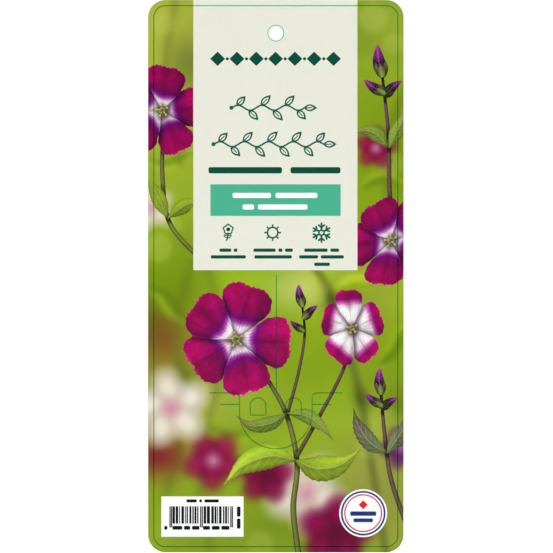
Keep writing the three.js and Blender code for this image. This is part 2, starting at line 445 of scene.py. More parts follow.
class Blossom:
    """A generic five-petalled flower. squash and lie turn it away from the viewer."""

    RAMP = (
        (0.00, (196, 206, 96)),
        (0.07, (236, 234, 196)),
        (0.15, (252, 248, 244)),
        (0.225, (244, 220, 240)),
        (0.29, (168, 70, 168)),
        (0.37, (112, 8, 106)),
        (0.50, (136, 5, 82)),
        (0.74, (160, 8, 86)),
        (0.92, (150, 6, 76)),
        (1.00, (176, 20, 98)),
    )
    # white petals dipped in the same colour
    DIPPED = (
        (0.00, (176, 190, 84)),
        (0.08, (236, 236, 204)),
        (0.20, (250, 247, 243)),
        (0.44, (251, 245, 245)),
        (0.56, (240, 214, 230)),
        (0.66, (196, 96, 164)),
        (0.76, (142, 12, 98)),
        (0.90, (156, 9, 84)),
        (1.00, (174, 22, 96)),
    )

    def __init__(self, cx, cz, r, turn, squash, lie, seed, sharp=1.0, dim=1.0, colours=None):
        self.c, self.r, self.sharp, self.dim = np.array([cx, cz], float), r, sharp, dim
        k, s = math.cos(lie), math.sin(lie)
        R = np.array([[k, -s], [s, k]])
        self.m = R @ np.diag([squash, 1.0]) @ R.T
        self.inv = np.linalg.inv(self.m)
        self.colours = [(t, tuple(np.array(c) * dim)) for t, c in colours or self.RAMP]
        rng = np.random.default_rng(seed)
        self.petals = []
        for n, i in enumerate((0, 2, 4, 1, 3)):
            a = turn + i * 2 * PI / 5 + rng.uniform(-0.06, 0.06)
            self.petals.append(
                Petal(self, a, r * rng.uniform(0.95, 1.04), r * rng.uniform(0.43, 0.48), seed * 10 + n)
            )

    def out(self, p):
        return self.c + p @ self.m.T

    def local(self, x, z):
        return np.c_[x - self.c[0], z - self.c[1]] @ self.inv.T

    def turn_vec(self, a, b):
        v = self.m @ np.array([a, b])
        return v / np.linalg.norm(v)


class Along:
    """A shape about a curved line: a leaf, a bud or a stem."""

    def __init__(self, points, halves, colours, material, seed=1, serrate=0.0, kind="leaf", dim=1.0, step=0.45):
        self.line = spline(points, 24)
        n = len(self.line)
        self.material, self.seed, self.colours, self.kind, self.dim = material, seed, colours, kind, dim
        t = np.linspace(0, 1, n)
        ts = np.linspace(0, 1, len(halves))
        half = np.interp(t, ts, halves)
        if kind != "stem":
            # halves are control values: round them off
            w = np.ones(5) / 5
            half = np.convolve(np.pad(half, 2, mode="edge"), w, mode="valid")
            half[0], half[-1] = halves[0], halves[-1]
        self.half = np.maximum(half, 0.02)
        if serrate:
            saw = (t * 13) % 1.0
            edge = self.half * (1 + serrate * (saw - 0.5))
        else:
            edge = self.half
        left, right = offset_sides(self.line, edge)
        self.loop = fine(np.vstack([right, left[::-1]]), step)

    def where(self, x, z):
        p = self.line
        best = np.full(len(x), 1e9)
        u, v = np.zeros(len(x)), np.zeros(len(x))
        dirs = np.zeros((len(x), 2))
        for i in range(len(p) - 1):
            e = p[i + 1] - p[i]
            ll = e @ e
            t = np.clip(((x - p[i, 0]) * e[0] + (z - p[i, 1]) * e[1]) / ll, 0, 1)
            dx, dz = x - p[i, 0] - t * e[0], z - p[i, 1] - t * e[1]
            d = np.hypot(dx, dz)
            near = d < best
            best = np.where(near, d, best)
            h = self.half[i] * (1 - t) + self.half[i + 1] * t
            side = np.sign(e[0] * dz - e[1] * dx)
            u = np.where(near, (i + t) / (len(p) - 1), u)
            v = np.where(near, side * d / h, v)
            dirs[near] = e / math.sqrt(ll)
        return u, np.clip(v, -1.1, 1.1), dirs

    def paint(self, x, z):
        u, v, dirs = self.where(x, z)
        lit = -dirs[:, 1] * LIGHT[0] + dirs[:, 0] * LIGHT[1]  # left side towards the light?
        c = ramp(u, self.colours)
        n1, n2 = cloud(x, z, 2.3, self.seed), cloud(x, z, 0.8, self.seed + 4)
        if self.kind == "stem":
            tone = 0.62 + 0.46 * np.sqrt(np.clip(1 - (v - 0.35 * lit) ** 2, 0, 1)) + 0.22 * np.exp(-(((v - 0.4 * lit) / 0.28) ** 2))
            tone += 0.14 * (n2 - 0.5)
            amount = np.zeros(len(x))
        elif self.kind == "bud":
            tone = 0.70 + 0.34 * np.sqrt(np.clip(1 - (v - 0.3 * lit) ** 2, 0, 1)) + 0.2 * np.exp(-(((v - 0.4 * lit) / 0.25) ** 2))
            tone += 0.12 * np.sin(v * 9) * smooth(0.9, 0.2, np.abs(v)) + 0.1 * (n2 - 0.5)
            amount = 0.5 * np.ones(len(x))
        else:
            tone = 1 + 0.17 * np.sign(v) * smooth(0.02, 0.12, np.abs(v)) * lit - 0.12 * smooth(0.7, 1.0, np.abs(v))
            tone += 0.10 * np.exp(-(((np.abs(v) - 0.5) / 0.22) ** 2)) + 0.10 * (n1 - 0.5) + 0.05 * (n2 - 0.5)
            amount = smooth(0.0, 0.08, u) * smooth(1.0, 0.9, u)
        return c * (tone * self.dim)[:, None], np.c_[u, v, amount]


class Dot:
    material = PETAL

    def __init__(self, cx, cz, r, colour, n=14):
        self.c, self.r, self.colour = (cx, cz), r, colour
        self.loop = circle(cx, cz, r, n)

    def paint(self, x, z):
        dx, dz = (x - self.c[0]) / self.r, (z - self.c[1]) / self.r
        tone = 0.92 + 0.22 * (dx * LIGHT[0] + dz * LIGHT[1])
        return self.colour * tone[:, None], np.zeros((len(x), 3))


class Ink:
    material = SPOT

    def __init__(self, colour):
        self.colour = colour

    def paint(self, x, z):
        return np.broadcast_to(self.colour, (len(x), 3)), np.zeros((len(x), 3))


class Backdrop:
    material = PICTURE

    def paint(self, x, z):
        return backdrop(x, z), np.zeros((len(x), 3))


STEM = ((0.0, (92, 98, 44)), (0.5, (104, 112, 50)), (1.0, (96, 84, 62)))
STEM_DARK = ((0.0, (84, 76, 48)), (0.6, (92, 70, 62)), (1.0, (110, 60, 92)))
LIME = ((0.0, (126, 148, 38)), (0.4, (142, 168, 40)), (0.8, (150, 174, 46)), (1.0, (166, 176, 66)))
DEEP = ((0.0, (92, 112, 40)), (0.5, (104, 128, 46)), (1.0, (120, 112, 60)))
DUSK = ((0.0, (84, 100, 60)), (0.5, (92, 92, 72)), (1.0, (84, 66, 62)))
BUD = ((0.0, (112, 126, 56)), (0.3, (104, 84, 84)), (0.45, (92, 28, 98)), (0.8, (132, 34, 130)), (1.0, (186, 60, 140)))
CALYX = ((0.0, (120, 138, 56)), (0.6, (108, 104, 70)), (1.0, (86, 56, 76)))

focus = []  # in drawing order, back to front


def stem(points, halves, colours=STEM, seed=1, dim=1.0):
    focus.append(Along(points, halves, colours, LEAF, seed, kind="stem", dim=dim))


def leaf(points, width, colours=LIME, seed=1, serrate=0.12, dim=1.0):
    halves = [w * width for w in (0.06, 0.42, 0.78, 0.98, 1.0, 0.9, 0.68, 0.4, 0.15, 0.02)]
    focus.append(Along(points, halves, colours, LEAF, seed, serrate, "leaf", dim))


def bud(x, z, angle, length, width, seed, dim=1.0):
    d = np.array([math.cos(angle), math.sin(angle)])
    s = np.array([-d[1], d[0]])
    base = np.array([x, z], float)
    line = [base, base + d * length * 0.5 + s * length * 0.04, base + d * length]
    halves = [w * width for w in (0.35, 0.8, 1.0, 0.98, 0.9, 0.78, 0.6, 0.38, 0.12)]
    focus.append(Along(line, halves, BUD, LEAF, seed, kind="bud", dim=dim))
    for k, turn in enumerate((-0.34, 0.34, 0.02)):
        a = angle + turn
        tip = base + np.array([math.cos(a), math.sin(a)]) * length * (0.50 if k < 2 else 0.42)
        mid = (base + tip) / 2 + s * (0.18 * width * (-1, 1, 0)[k])
        focus.append(
            Along([base - d * 0.6, mid, tip], [w * width for w in (0.34, 0.5, 0.52, 0.42, 0.22, 0.03)], CALYX, LEAF, seed + 5 + k, kind="bud", dim=dim)
        )


def blossom(*args, **more):
    b = Blossom(*args, **more)
    focus.extend(b.petals)
    return b


def eye(b, r):
    """The throat, with its stamens."""
    cx, cz = b.c
    focus.append(Dot(cx, cz, r, rgb(150, 168, 58)))
    focus.append(Dot(cx - 0.06, cz + 0.08, r * 0.62, rgb(88, 104, 36)))
    for i in range(5):
        a = 0.5 + i * 2 * PI / 5
        d = b.turn_vec(math.cos(a), math.sin(a))
        tip = b.c + d * r * 1.75
        focus.append(Along([b.c + d * r * 0.3, b.c + d * r * 1.1 + (0.12, 0.1), tip], [0.16, 0.15, 0.14], ((0, (226, 226, 176)), (1, (246, 240, 214))), LEAF, 3, kind="stem", step=0.3))
        focus.append(Dot(tip[0], tip[1], 0.46, rgb(222, 186, 62), 10))


# beside the panel
stem([(47, -84), (45.5, -62), (45, -40), (42.5, -16)], [1.0, 0.9, 0.8, 0.55], STEM_DARK, 15)
leaf([(45.3, -46), (41, -41), (36, -39), (30, -40)], 2.9, DEEP, 27, 0.12, 1.05)
leaf([(45.3, -46), (48, -40), (50.5, -35), (52, -28)], 2.9, DEEP, 28, 0.12, 1.1)
bud(42.6, -17, 1.72, 12.5, 2.7, 91)
bud(43.4, -25, 0.72, 9.0, 2.1, 101, 0.92)
bud(43.2, -24, 2.55, 9.5, 2.2, 111, 0.96)
stem([(-26.5, -92.5), (-36, -84.5), (-43.2, -74), (-45.4, -56), (-45, -38)], [1.0, 1.0, 0.95, 0.9, 0.8], STEM, 16)
leaf([(-43.2, -74), (-46, -68), (-49, -62), (-52.5, -58)], 3.0, LIME, 29, 0.10, 0.9)
leaf([(-43.2, -74), (-38, -70), (-34, -68), (-29, -69)], 3.0, LIME, 30, 0.10, 0.85)
b3 = blossom(-45.5, -31, 18.5, 0.1, 0.86, 0.5, 15, 0.9, 0.93)
eye(b3, 1.3)
b4 = blossom(46, -83, 19, 0.75, 0.84, -0.5, 21, 0.95, 0.95)
eye(b4, 1.35)
# stems and leaves behind the blossoms
stem([(9, -208.5), (7, -190), (8.5, -172), (4, -152), (-6, -134)], [1.25, 1.2, 1.1, 1.0, 0.8], STEM, 11)
stem([(8, -170), (17, -154), (25, -139), (30, -127)], [0.9, 0.8, 0.75, 0.7], STEM_DARK, 12)
stem([(4.5, -153), (9, -136), (11.5, -121), (10.5, -108)], [0.75, 0.65, 0.55, 0.45], STEM_DARK, 13)
leaf([(8, -171), (-2, -169), (-13, -173), (-21, -181)], 5.2, LIME, 21, 0.10)
leaf([(8, -171), (16.5, -174), (26, -172.5), (34, -166.5)], 5.3, LIME, 22, 0.10, 0.94)
leaf([(4.6, -152), (-2, -156), (-10, -157), (-16, -153)], 3.0, DEEP, 23, 0.10)
leaf([(4.6, -152), (12, -153), (18, -157), (23, -163)], 2.9, DEEP, 24, 0.10, 1.1)
bud(10.6, -109, 1.75, 8.5, 1.9, 31)
bud(11.2, -114, 0.75, 7.5, 1.7, 41, 0.95)
bud(11.0, -119, 2.5, 6.5, 1.5, 51, 0.92)
# a twig with buds at the right
stem([(52, -196), (46, -178), (43.5, -160), (42, -143)], [1.0, 0.95, 0.8, 0.6], STEM_DARK, 14)
leaf([(44.5, -168), (38, -164), (33, -157), (31, -150)], 3.4, DUSK, 25, 0.16, 1.1)
leaf([(44.5, -168), (48, -163), (51, -158), (52, -151)], 3.2, DUSK, 26, 0.16, 1.1)
bud(42, -144, 1.62, 10, 2.2, 61)
bud(42.4, -150, 0.6, 7.5, 1.8, 71, 0.9)
bud(42.2, -149, 2.5, 8.0, 1.8, 81, 0.95)
# blossoms
b2 = blossom(30.5, -118, 15.5, 0.35, 0.80, 0.25, 5, 0.5, 0.97, Blossom.DIPPED)
eye(b2, 1.1)
b1 = blossom(-16, -122.5, 22.5, 1.25, 0.94, 0.5, 7, 1.0, 1.0)
eye(b1, 1.6)

# ------------------------------------------------------------- printed layout
flat = []  # (loops, ink), back to front, over the picture


def block(u0, v0, u1, v1, ink, r=0.0, step=1.0):
    (x0, z1), (x1, z0) = at(u0, v0), at(u1, v1)
    if r:
        loop = rounded(x0, z0, x1, z1, min(r * 0.4, (z1 - z0) / 2 - 1e-3, (x1 - x0) / 2 - 1e-3), 5)
    else:
        loop = np.array([(x0, z0), (x1, z0), (x1, z1), (x0, z1)])
    flat.append(([fine(loop, step)], ink))


def pen(points, width, ink, caps="round", smooth_line=False, step=0.8):
    p = np.array([at(*q) for q in points])
    if smooth_line:
        p = spline(p, 6)
    flat.append(([fine(stroke(p, width * 0.4, caps), step)], ink))


def disc(u, v, r, ink, n=20, hole=0.0):
    c = at(u, v)
    loops = [circle(*c, r * 0.4, n)]
    if hole:
        loops.append(circle(*c, hole * 0.4, n))
    flat.append((loops, ink))


cream, green, teal = Ink(CREAM), Ink(GREEN_INK), Ink(TEAL_INK)
thin = Ink(THIN_GREEN)
white, black, blue, red = Ink(WHITE_INK), Ink(BLACK_INK), Ink(BLUE_INK), Ink(RED_INK)

block(193.3, -1.5, 357.4, 270.2, cream)
# head ornament: a row of lozenges and dots
for i in range(7):
    cu = 217.6 + i * 19.32
    pts = [(cu - 7.5, 58.8), (cu, 51.6), (cu + 7.5, 58.8), (cu, 66.0)]
    flat.append(([fine(np.array([at(*p) for p in pts]), 1.0)], green))
    if i < 6:
        disc(cu + 9.66, 58.8, 1.6, green, 14)
# two sprigs drawn in thin lines


def leaf_ring(base, angle, length, half, w):
    """An open leaf shape: its outline drawn with a line of width w."""
    d = np.array([math.cos(angle), math.sin(angle)])
    n = np.array([-d[1], d[0]])
    t = np.linspace(0, 1, 15)
    wide = np.sin(PI * t**0.85) ** 0.9
    loops = []
    for s0, s1, h in ((0.0, length, half), (w * 1.5, length - w * 2.2, half - w)):
        along = s0 + (s1 - s0) * t
        up = np.array(base) + along[:, None] * d + (h * wide)[:, None] * n
        down = np.array(base) + along[:, None] * d - (h * wide)[:, None] * n
        loops.append(np.array([at(*q) for q in np.vstack([up, down[::-1][1:-1]])]))
    flat.append((loops, thin))
    pen([np.array(base) + d * length * k for k in (0.0, 0.3, 0.6)], 1.05, thin, step=0.6)


for u0, u1, v0, size, n in ((232.0, 317.5, 107.8, 14.6, 6), (214.0, 337.0, 144.2, 14.8, 9)):
    u = np.linspace(u0, u1 - size * 0.9, n * 12 + 1)
    t = (u - u0) / (u[-1] - u0)
    bend = -2.5 * np.sin(t * PI * n)
    pen(np.c_[u, v0 + bend], 1.7, thin, step=0.7)
    for i in range(n):
        sign = -1 if i % 2 == 0 else 1
        k = (i + 0.38) / n
        root = (u0 + k * (u[-1] - u0), v0 - 2.5 * math.sin(k * PI * n))
        leaf_ring(root, sign * 0.80, size * (0.86 + 0.14 * math.sin(PI * k)), size * 0.25, 1.48)
    leaf_ring((u[-1] - 0.4, v0 + bend[-1]), 0.0, size * 0.9, size * 0.24, 1.48)
    disc(u0 - 0.6, v0, 2.1, thin, 14)
# a bold line
for u0, u1 in ((208.5, 282.0), (290.5, 340.5)):
    block(u0, 167.1, u1, 173.4, green, 2.0)
# banner
block(210.4, 184.3, 340.7, 215.9, teal)
for u0, u1 in ((232.5, 271.0), (275.5, 317.5)):
    block(u0, 192.8, u1, 198.0, white, 1.7)
for u0, u1 in ((242.5, 254.0), (258.0, 307.5)):
    block(u0, 204.4, u1, 209.6, white, 1.7)
# flowering season


def closed(points, per=4):
    """A smooth closed line through the points."""
    p = np.array([at(*q) for q in points])
    n = len(p)
    t = np.linspace(0, 1, per, endpoint=False)[:, None]
    out = []
    for i in range(n):
        a, b, c, d = p[i - 1], p[i], p[(i + 1) % n], p[(i + 2) % n]
        out.append(0.5 * (2 * b + (c - a) * t + (2 * a - 5 * b + 4 * c - d) * t**2 + (3 * b - a - 3 * c + d) * t**3))
    return np.vstack(out)


fc = (228.2, 229.35)
ring = []
for k in range(60):
    a = PI / 2 + k * 2 * PI / 60
    ring.append((a, 4.5 + 0.46 * math.cos(5 * (a - PI / 2))))
outer = np.array([at(fc[0] + (r + 0.74) * math.cos(a), fc[1] - (r + 0.74) * math.sin(a)) for a, r in ring])
inner = np.array([at(fc[0] + (r - 0.78) * math.cos(a), fc[1] - (r - 0.78) * math.sin(a)) for a, r in ring])
flat.append(([outer, inner], thin))
disc(*fc, 2.0, green, 16)
for out_, in_ in (
    (
        ((227.9, 234.85), (226.0, 234.6), (223.9, 234.85), (223.7, 235.8), (224.6, 237.1), (225.9, 238.1), (227.8, 238.1)),
        ((227.0, 235.95), (226.1, 235.75), (225.3, 235.95), (225.6, 236.6), (226.2, 237.0), (227.0, 236.85)),
    ),
    (
        ((227.9, 234.85), (229.8, 234.65), (231.5, 234.9), (231.6, 235.9), (230.6, 237.3), (229.4, 238.4), (227.8, 238.0)),
        ((228.5, 236.1), (229.3, 235.8), (230.1, 236.0), (229.8, 236.7), (229.2, 237.1), (228.4, 236.95)),
    ),
):
    flat.append(([closed(out_), closed(in_)], thin))
pen([(228.2, 233.8), (227.9, 236.0), (227.4, 238.4), (226.55, 240.3)], 1.45, thin, smooth_line=True, step=0.5)
# sun
sc_ = (272.65, 232.6)
disc(*sc_, 6.1, thin, 36, 4.4)
for k in range(8):
    a = k * PI / 4
    pen([(sc_[0] + r * math.cos(a), sc_[1] + r * math.sin(a)) for r in (5.6, 8.35)], 1.55, thin, "butt", step=0.6)
# snow crystal
nc = (321.45, 232.75)
for k in range(6):
    a = PI / 2 + k * PI / 3
    d = np.array([math.cos(a), math.sin(a)])
    pen([np.array(nc) + d * r for r in (2.9, 9.35)], 1.95, thin, step=0.6)
    for sign in (-1, 1):
        b_ = a + sign * PI / 3.7
        e = np.array([math.cos(b_), math.sin(b_)])
        pen([np.array(nc) + d * 5.2, np.array(nc) + d * 5.2 + e * 3.7], 1.85, thin, step=0.6)
hexa = np.array([at(nc[0] + 3.9 * math.cos(PI / 2 + k * PI / 3), nc[1] + 3.9 * math.sin(PI / 2 + k * PI / 3)) for k in range(6)])
hexi = np.array([at(nc[0] + 1.85 * math.cos(PI / 2 + k * PI / 3), nc[1] + 1.85 * math.sin(PI / 2 + k * PI / 3)) for k in range(6)])
flat.append(([hexa, hexi], thin))
# small lines under the pictograms
for v, words in (
    (250.2, ((219.4, 231.2), (233.8, 237.4), (253.4, 275.6), (278.4, 282.4), (285.0, 292.8), (304.2, 327.6), (330.4, 339.0))),
    (256.9, ((210.8, 245.8), (254.4, 291.8), (299.2, 318.0), (320.8, 343.8))),
    (264.3, ((314.2, 329.8),)),
):
    for u0, u1 in words:
        block(u0, v - 1.65, u1, v + 1.65, green, 1.1)
# bar field: stripes that follow no code
block(161.3, 496.4, 243.55, 536.8, white)
for u0, u1 in ((186.4, 196.8), (199.2, 202.0), (204.4, 218.8)):
    block(u0, 499.4, u1, 502.4, black, 1.2)
rng = np.random.default_rng(42)
module = (232.7 - 169.4) / 95
spans = []
for start, stop in ((4.6, 43.6), (51.4, 90.4)):
    k = start
    while k < stop - 1.2:
        w = float(rng.choice([1.4, 2.2, 3.0, 3.8, 4.6], p=[0.22, 0.24, 0.24, 0.17, 0.13]))
        w = min(w, stop - k)
        spans.append((k, k + w, 0))
        k += w + float(rng.choice([1.0, 1.4, 2.1], p=[0.58, 0.30, 0.12]))
for g in (0.0, 2.3, 46.0, 48.4, 91.3, 93.6):
    spans.append((g, g + 1.85, 1))
for a, b, tall in spans:
    block(169.4 + a * module, 506.3, 169.4 + b * module, 527.4 if tall else 523.6, black)
for u0, u1 in ((164.2, 167.4), (172.4, 182.2), (184.0, 190.2), (192.0, 199.4), (203.0, 210.0), (211.8, 219.6), (221.4, 229.4)):
    block(u0, 525.9, u1, 529.7, black, 1.2)
for v0, v1 in ((506.6, 516.6), (518.6, 528.6)):
    block(236.9, v0, 240.5, v1, black, 1.2)
# round seal
bc = (363.2, 513.2)
disc(*bc, 24.0, white, 64)
disc(*bc, 22.3, blue, 64, 20.5)
disc(*bc, 19.0, red, 60, 17.7)
flat.append(([fine(np.array([at(bc[0] + a, bc[1] - 8.4 + b) for a, b in ((-4.6, 0), (0, -4.6), (4.6, 0), (0, 4.6))]), 0.8)], red))
block(350.2, 511.4, 376.2, 515.8, blue, 1.4)
block(353.4, 518.4, 373.0, 522.2, blue, 1.4)

# ------------------------------------------------------ die lines and the cuts
die = []  # printed over everything, as a transparent green
cuts = []  # removed from the sheet
cut_paths = []

outline = rounded(LEFT + EDGE_ROUND, FOOT + EDGE_ROUND, RIGHT - EDGE_ROUND, TOP - EDGE_ROUND, CORNER - EDGE_ROUND, 20)
outline = fine(outline, 1.0)
hole = circle(0, 0, HOLE + EDGE_ROUND, 72)
die.append([circle(0, 0, HOLE + EDGE_ROUND + 0.34, 72), hole])
cuts.append(hole)


def score_path(off):
    i = SCORE_INSET + off
    return fine(rounded(LEFT + i, FOOT + i, RIGHT - i, TOP - i, SCORE_CORNER - off, 16), 1.0)


die.append([score_path(-LINE / 2), score_path(LINE / 2)])
score_loops = [score_path(-SCORE_HALF), score_path(0), score_path(SCORE_HALF)]

FACE_GAP = KERF + 2 * KERF_ROUND


def cut(line, caps_extra=0.0, step=0.8):
    p = fine(distinct(line, closed=False), step, closed=False)
    cuts.append(stroke(p, FACE_GAP))
    cut_paths.append(p)
    ext = p.copy()
    die.append([fine(stroke(ext, LINE), step)])


W14, FIL, SH = 14.55, 1.8, -143.9
cut([(0.2, -96.7), (0.2, -142.7)])
cut(
    np.vstack(
        [
            [(-26.6, SH)],
            arc(-W14 - FIL, SH - FIL, FIL, PI / 2, 0, 8),
            arc(0, -151.7, W14, PI, 2 * PI, 48),
            arc(W14 + FIL, SH - FIL, FIL, PI, PI / 2, 8),
            [(26.6, SH)],
        ]
    )
)
for s in (-1, 1):
    cut([(s * 22.2, -148.5), (s * (W14 - 0.0), -148.5)])
TAB_W, TAB_C, TAB_TOP, TAB_BASE = 3.15, 0.4, -145.9, -152.8
creases = []
for cx in (-7.1, 7.1):
    cut(
        np.vstack(
            [
                arc(cx - TAB_W + TAB_C, TAB_BASE + TAB_C, TAB_C, 1.5 * PI, PI, 4),
                arc(cx, TAB_TOP - TAB_W, TAB_W, PI, 0, 22),
                arc(cx + TAB_W - TAB_C, TAB_BASE + TAB_C, TAB_C, 0, -PI / 2, 4),
            ]
        ),
        step=0.6,
    )
    x0, x1 = cx - TAB_W + TAB_C + 0.12, cx + TAB_W - TAB_C - 0.12
    die.append([fine(np.array([(x0, TAB_BASE - LINE / 2), (x1, TAB_BASE - LINE / 2), (x1, TAB_BASE + LINE / 2), (x0, TAB_BASE + LINE / 2)]), 0.6)])
    creases.append((x0, x1))

# --------------------------------------------------- one planar map of the face
coords, edges = [], []


def lay(loop, closed=True):
    n0 = len(coords)
    coords.extend(loop.tolist())
    m = len(loop)
    edges.extend((n0 + i, n0 + (i + 1) % m) for i in range(m if closed else m - 1))


lay(outline)
for c in cuts:
    lay(fine(c, 0.8))
for loops in die:
    for l in loops:
        if l is not hole:
            lay(l)
for l in score_loops:
    lay(l)
for x0, x1 in creases:
    for dz in (-0.1, 0.0, 0.1):
        lay(fine(np.array([(x0 + 0.02, TAB_BASE + dz), (x1 - 0.02, TAB_BASE + dz)]), 0.6, closed=False), closed=False)
for loops, ink in flat:
    for l in loops:
        lay(l)
for f in focus:
    lay(f.loop)
n_lines = len(coords)

tree = kdtree.KDTree(n_lines)
for i, (x, z) in enumerate(coords):
    tree.insert((x, z, 0.0), i)
tree.balance()


def grid(x0, z0, x1, z1, s, seed):
    rng = np.random.default_rng(seed)
    rows = np.arange(z0, z1, s * 0.866)
    out = []
    for j, z in enumerate(rows):
        xs = np.arange(x0 + (j % 2) * s / 2, x1, s)
        out.append(np.c_[xs, np.full(len(xs), z)])
    p = np.vstack(out)
    return p + rng.uniform(-0.08, 0.08, p.shape) * s


(px0, pz1), (px1, pz0) = at(193.3, -1.5), at(357.4, 270.2)
FINE, COARSE, PANEL = 0.44, 1.05, 3.0


def in_focus(x, z):
    m = np.zeros(len(x), bool)
    for f in focus:
        a, b = f.loop.min(0), f.loop.max(0)
        s = np.flatnonzero(~m & (x > a[0]) & (x < b[0]) & (z > a[1]) & (z < b[1]))
        if len(s):
            m[s] = inside([f.loop], x[s], z[s])
    return m


dense = grid(LEFT, FOOT, RIGHT, TOP, FINE, 1)
in_panel = lambda p: (p[:, 0] > px0) & (p[:, 0] < px1) & (p[:, 1] > pz0)
dense = dense[~in_panel(dense)]
dense = dense[in_focus(dense[:, 0], dense[:, 1])]
coarse = grid(LEFT, FOOT, RIGHT, TOP, COARSE, 2)
coarse = coarse[~in_panel(coarse)]
coarse = coarse[~in_focus(coarse[:, 0], coarse[:, 1])]
sparse = grid(LEFT, FOOT, RIGHT, TOP, PANEL, 3)
sparse = sparse[in_panel(sparse)]
for pts, gap in ((dense, 0.24), (coarse, 0.5), (sparse, 0.9)):
    ok = inside([outline], pts[:, 0], pts[:, 1])
    pts = pts[ok]
    coords.extend(p for p in pts.tolist() if tree.find((p[0], p[1], 0.0))[2] > gap)

V2, E2, F2, _, _, _ = delaunay_2d_cdt([Vector(c) for c in coords], edges, [], 0, 1e-4, False)
P = np.array([(v.x, v.y) for v in V2])
TRI = np.array([tuple(f) for f in F2], int)
a, b, c = P[TRI[:, 0]], P[TRI[:, 1]], P[TRI[:, 2]]
area = (b[:, 0] - a[:, 0]) * (c[:, 1] - a[:, 1]) - (b[:, 1] - a[:, 1]) * (c[:, 0] - a[:, 0])
TRI[area < 0] = TRI[area < 0][:, ::-1]
mid = P[TRI].mean(1)
keep = inside([outline], mid[:, 0], mid[:, 1])
for cut_loop in cuts:
    lo2, hi2 = cut_loop.min(0), cut_loop.max(0)
    s = np.flatnonzero(keep & (mid >= lo2).all(1) & (mid <= hi2).all(1))
    if len(s):
        keep[s[inside([cut_loop], mid[s, 0], mid[s, 1])]] = False
TRI, mid = TRI[keep], mid[keep]


def sweep(table):
    """For each triangle, the last shape of the table that holds it, or -1."""
    top = np.full(len(TRI), -1)
    for i, loops in enumerate(table):
        p = np.vstack(loops)
        a, b = p.min(0), p.max(0)
        s = np.flatnonzero((mid[:, 0] > a[0]) & (mid[:, 0] < b[0]) & (mid[:, 1] > a[1]) & (mid[:, 1] < b[1]))
        if len(s):
            top[s[inside(loops, mid[s, 0], mid[s, 1])]] = i
    return top


painters = [Backdrop()] + focus + [ink for _, ink in flat]
top_shape = sweep([[f.loop] for f in focus] + [loops for loops, _ in flat]) + 1
over = sweep(die) >= 0

corner = P[TRI]  # triangle, corner, xz
nt = len(TRI)
colour = np.zeros((nt, 3, 3))
detail = np.zeros((nt, 3, 3))
material = np.zeros(nt, int)
n_focus = len(focus)
for i in np.unique(top_shape):
    sel = np.flatnonzero(top_shape == i)
    x, z = corner[sel, :, 0].ravel(), corner[sel, :, 1].ravel()
    col, det = painters[i].paint(x, z)
    col = np.array(col)
    if 1 <= i <= n_focus:
        # a soft shadow from whatever lies in front of it
        shade = np.ones(len(x))
        here = focus[i - 1]
        for f in focus[i:]:
            if isinstance(f, Dot) or isinstance(here, Dot):
                continue
            reach = 2.6
            a, b = f.loop.min(0) - reach, f.loop.max(0) + reach
            q = np.flatnonzero((x > a[0]) & (x < b[0]) & (z > a[1]) & (z < b[1]))
            if not len(q):
                continue
            sx, sz = x[q] + LIGHT[0] * 0.5, z[q] + LIGHT[1] * 0.5
            d = np.full(len(q), 1e9)
            for s0 in range(0, len(f.loop), 64):
                part = f.loop[s0 : s0 + 64]
                d = np.minimum(d, np.hypot(sx[:, None] - part[:, 0], sz[:, None] - part[:, 1]).min(1))
            d[inside([f.loop], sx, sz)] = 0
            shade[q] *= 1 - 0.46 * np.exp(-((d / 1.25) ** 2))
        # never quite black, and mauve on petals
        shade = np.maximum(shade, 0.46 + 0.2 * (shade - 0.46))
        tint = (0.93, 1.12, 0.90) if here.material == PETAL else (1.0, 1.0, 1.0)
        col *= shade[:, None] ** np.array(tint)
    colour[sel] = col.reshape(-1, 3, 3)
    detail[sel] = det.reshape(-1, 3, 3)
    material[sel] = painters[i].material
colour[over] *= DIE_LINE
# inks and plastic as they are without the varnish's own sheen
SHEEN, GAIN = 0.0048, 1.038
colour = np.clip(to_linear(colour) - SHEEN, 0.0006, None) / GAIN

# ------------------------------------------------------------ the closed sheet
used = np.unique(TRI)
index = np.full(len(P), -1)
index[used] = np.arange(len(used))
P, TRI = P[used], index[TRI]
nf = len(P)

# depth of each point of the printed face
depth = np.full(nf, FACE)


def near_loop(loop, tol=1e-3):
    t = kdtree.KDTree(len(loop))
    for i, (x, z) in enumerate(loop):
        t.insert((x, z, 0.0), i)
    t.balance()
    a, b = loop, np.roll(loop, -1, axis=0)
    hit = np.zeros(nf, bool)
    for i, (x, z) in enumerate(P):
        found = t.find_n((x, z, 0.0), 2)
        for _, j, dist in found:
            for s in (j, j - 1):
                e = b[s] - a[s]
                w = np.clip(((x - a[s][0]) * e[0] + (z - a[s][1]) * e[1]) / (e @ e), 0, 1)
                if math.hypot(x - a[s][0] - w * e[0], z - a[s][1] - w * e[1]) < tol:
                    hit[i] = True
    return hit


depth[near_loop(score_loops[1])] = FACE + SCORE_DEPTH
for x0, x1 in creases:
    on = (np.abs(P[:, 1] - TAB_BASE) < 1e-3) & (P[:, 0] > x0 + 0.03) & (P[:, 0] < x1 - 0.03)
    depth[on] = FACE + 0.12

